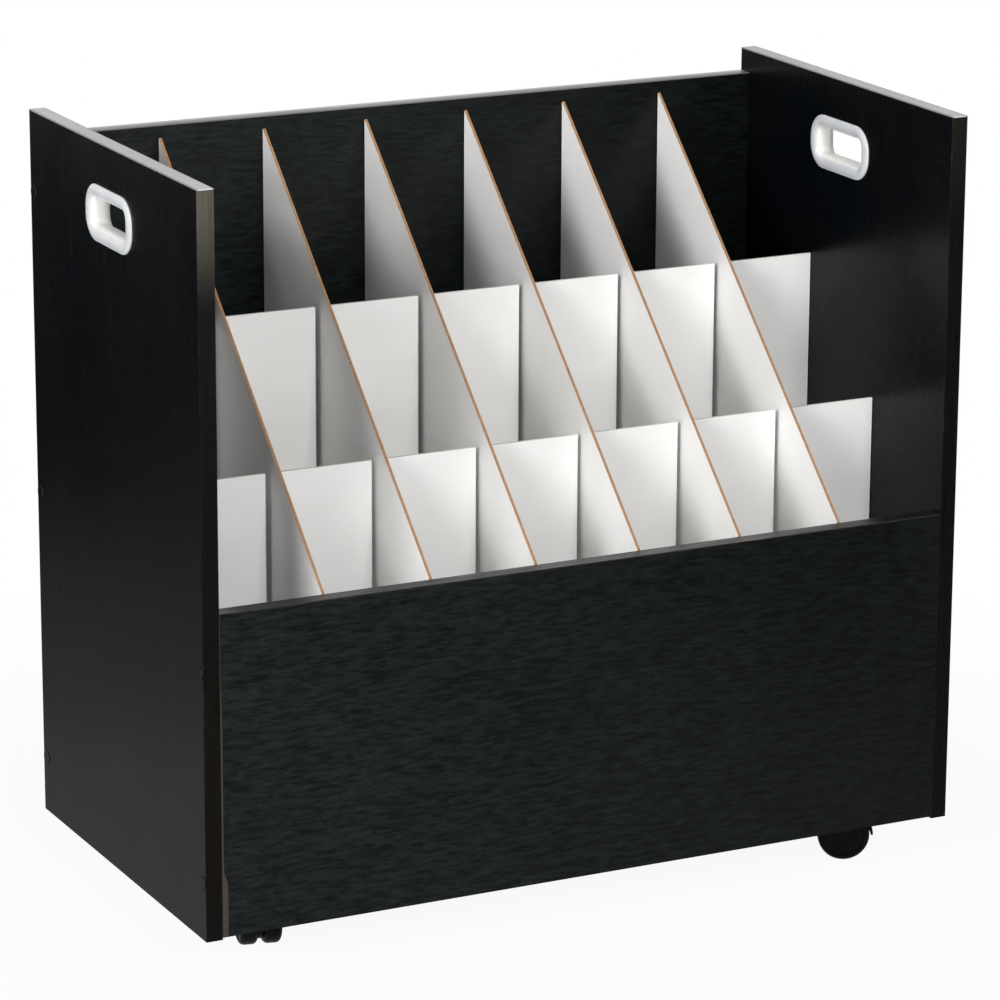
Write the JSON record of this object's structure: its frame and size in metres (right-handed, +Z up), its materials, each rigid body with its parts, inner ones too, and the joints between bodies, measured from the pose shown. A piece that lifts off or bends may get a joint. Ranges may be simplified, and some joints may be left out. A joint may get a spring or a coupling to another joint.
{
  "type": "mobile blueprint roll file",
  "caption": "Open-topped cabinet of black laminated boards on swivel casters, with sloping white dividers that slot into upright compartments for rolled drawings.",
  "frame": {"origin": "on the floor, under the middle of the cabinet", "axes": "+X to the cabinet's right across its width, +Y to its back, +Z up"},
  "size_m": [0.774, 0.396, 0.734],
  "materials": {
    "board": "black woodgrain melamine laminate on particle board, satin",
    "pale_band": "pale grey plastic edge band",
    "dark_band": "brown-grey plastic edge band",
    "hardboard": "white coated faces with raw tan edges",
    "grommet": "moulded white plastic, soft gloss",
    "cap": "satin dark plastic",
    "dowel": "plain beech",
    "zinc_steel": "bright zinc plate",
    "axle_steel": "turned steel",
    "hood_nylon": "moulded black nylon",
    "wheel_nylon": "moulded black nylon, lightly scuffed tread"
  },
  "bodies": {
    "cabinet": {"left_side_panel": "board", "right_side_panel": "board", "back_panel": "board", "front_panel": "board", "bottom_panel": "board", "left_top_band": "pale_band", "right_top_band": "pale_band", "left_front_band": "dark_band", "right_front_band": "dark_band", "left_rear_band": "dark_band", "right_rear_band": "dark_band", "front_panel_band": "dark_band", "back_panel_band": "pale_band", "divider_1": "hardboard", "divider_2": "hardboard", "divider_3": "hardboard", "divider_4": "hardboard", "divider_5": "hardboard", "divider_6": "hardboard", "cross_divider_rear": "hardboard", "cross_divider_front": "hardboard", "left_grommet_outer": "grommet", "left_grommet_inner": "grommet", "right_grommet_outer": "grommet", "right_grommet_inner": "grommet", "panel_screws": "zinc_steel", "screw_caps": "cap", "bottom_dowels": "dowel", "caster_screws": "zinc_steel", "front_left_plate": "zinc_steel", "front_left_pin": "zinc_steel", "front_right_plate": "zinc_steel", "front_right_pin": "zinc_steel", "rear_left_plate": "zinc_steel", "rear_left_pin": "zinc_steel", "rear_right_plate": "zinc_steel", "rear_right_pin": "zinc_steel"},
    "front_left_caster": {"front_left_hood": "hood_nylon", "front_left_axle": "axle_steel"},
    "front_left_roller_1": {"front_left_wheel_1": "wheel_nylon"},
    "front_left_roller_2": {"front_left_wheel_2": "wheel_nylon"},
    "front_right_caster": {"front_right_hood": "hood_nylon", "front_right_axle": "axle_steel"},
    "front_right_roller_1": {"front_right_wheel_1": "wheel_nylon"},
    "front_right_roller_2": {"front_right_wheel_2": "wheel_nylon"},
    "rear_left_caster": {"rear_left_hood": "hood_nylon", "rear_left_axle": "axle_steel"},
    "rear_left_roller_1": {"rear_left_wheel_1": "wheel_nylon"},
    "rear_left_roller_2": {"rear_left_wheel_2": "wheel_nylon"},
    "rear_right_caster": {"rear_right_hood": "hood_nylon", "rear_right_axle": "axle_steel"},
    "rear_right_roller_1": {"rear_right_wheel_1": "wheel_nylon"},
    "rear_right_roller_2": {"rear_right_wheel_2": "wheel_nylon"}
  },
  "joints": [
    {"name": "front_left_swivel", "type": "hinge", "parent": "cabinet", "child": "front_left_caster", "pos_m": [-0.294, -0.114, 0.06], "axis": [0, 0, 1], "continuous": true},
    {"name": "front_left_roll_1", "type": "hinge", "parent": "front_left_caster", "child": "front_left_roller_1", "pos_m": [-0.28886, -0.09261, 0.025], "axis": [-0.9724, 0.2334, 0], "continuous": true},
    {"name": "front_left_roll_2", "type": "hinge", "parent": "front_left_caster", "child": "front_left_roller_2", "pos_m": [-0.28886, -0.09261, 0.025], "axis": [-0.9724, 0.2334, 0], "continuous": true},
    {"name": "front_right_swivel", "type": "hinge", "parent": "cabinet", "child": "front_right_caster", "pos_m": [0.294, -0.114, 0.06], "axis": [0, 0, 1], "continuous": true},
    {"name": "front_right_roll_1", "type": "hinge", "parent": "front_right_caster", "child": "front_right_roller_1", "pos_m": [0.3141, -0.12295, 0.025], "axis": [0.4067, 0.9135, 0], "continuous": true},
    {"name": "front_right_roll_2", "type": "hinge", "parent": "front_right_caster", "child": "front_right_roller_2", "pos_m": [0.3141, -0.12295, 0.025], "axis": [0.4067, 0.9135, 0], "continuous": true},
    {"name": "rear_left_swivel", "type": "hinge", "parent": "cabinet", "child": "rear_left_caster", "pos_m": [-0.294, 0.114, 0.06], "axis": [0, 0, 1], "continuous": true},
    {"name": "rear_left_roll_1", "type": "hinge", "parent": "rear_left_caster", "child": "rear_left_roller_1", "pos_m": [-0.3033, 0.13394, 0.025], "axis": [-0.9063, -0.4226, 0], "continuous": true},
    {"name": "rear_left_roll_2", "type": "hinge", "parent": "rear_left_caster", "child": "rear_left_roller_2", "pos_m": [-0.3033, 0.13394, 0.025], "axis": [-0.9063, -0.4226, 0], "continuous": true},
    {"name": "rear_right_swivel", "type": "hinge", "parent": "cabinet", "child": "rear_right_caster", "pos_m": [0.294, 0.114, 0.06], "axis": [0, 0, 1], "continuous": true},
    {"name": "rear_right_roll_1", "type": "hinge", "parent": "rear_right_caster", "child": "rear_right_roller_1", "pos_m": [0.31467, 0.12152, 0.025], "axis": [-0.342, 0.9397, 0], "continuous": true},
    {"name": "rear_right_roll_2", "type": "hinge", "parent": "rear_right_caster", "child": "rear_right_roller_2", "pos_m": [0.31467, 0.12152, 0.025], "axis": [-0.342, 0.9397, 0], "continuous": true}
  ]
}
